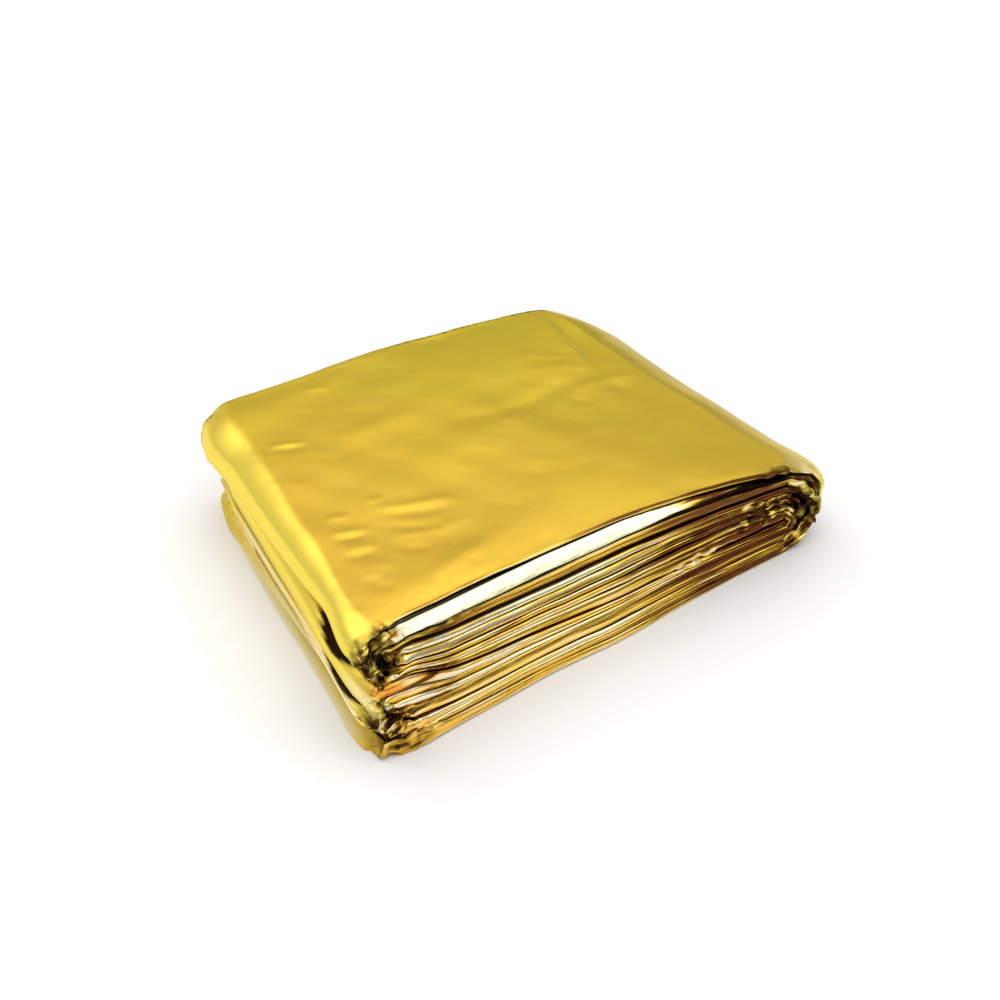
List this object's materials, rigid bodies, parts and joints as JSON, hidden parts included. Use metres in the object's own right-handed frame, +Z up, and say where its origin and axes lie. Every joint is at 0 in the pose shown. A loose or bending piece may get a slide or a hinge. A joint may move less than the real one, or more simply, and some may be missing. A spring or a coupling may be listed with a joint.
{
  "type": "emergency foil blanket",
  "caption": "Thin metallised foil sheet folded flat into a small layered pack, opened out and wrapped around a person to keep them warm.",
  "frame": {"origin": "under the middle of the folded pack, on the surface that it lies on", "axes": "+X along the pack's long side, from the end with three bundles of turns to the end with one; +Y from the layered front to the back; +Z up"},
  "size_m": [0.1512, 0.1198, 0.0335],
  "materials": {
    "gold_foil": "mirror gold metallised film"
  },
  "bodies": {
    "root": {"foil_blanket": "gold_foil"}
  },
  "joints": []
}
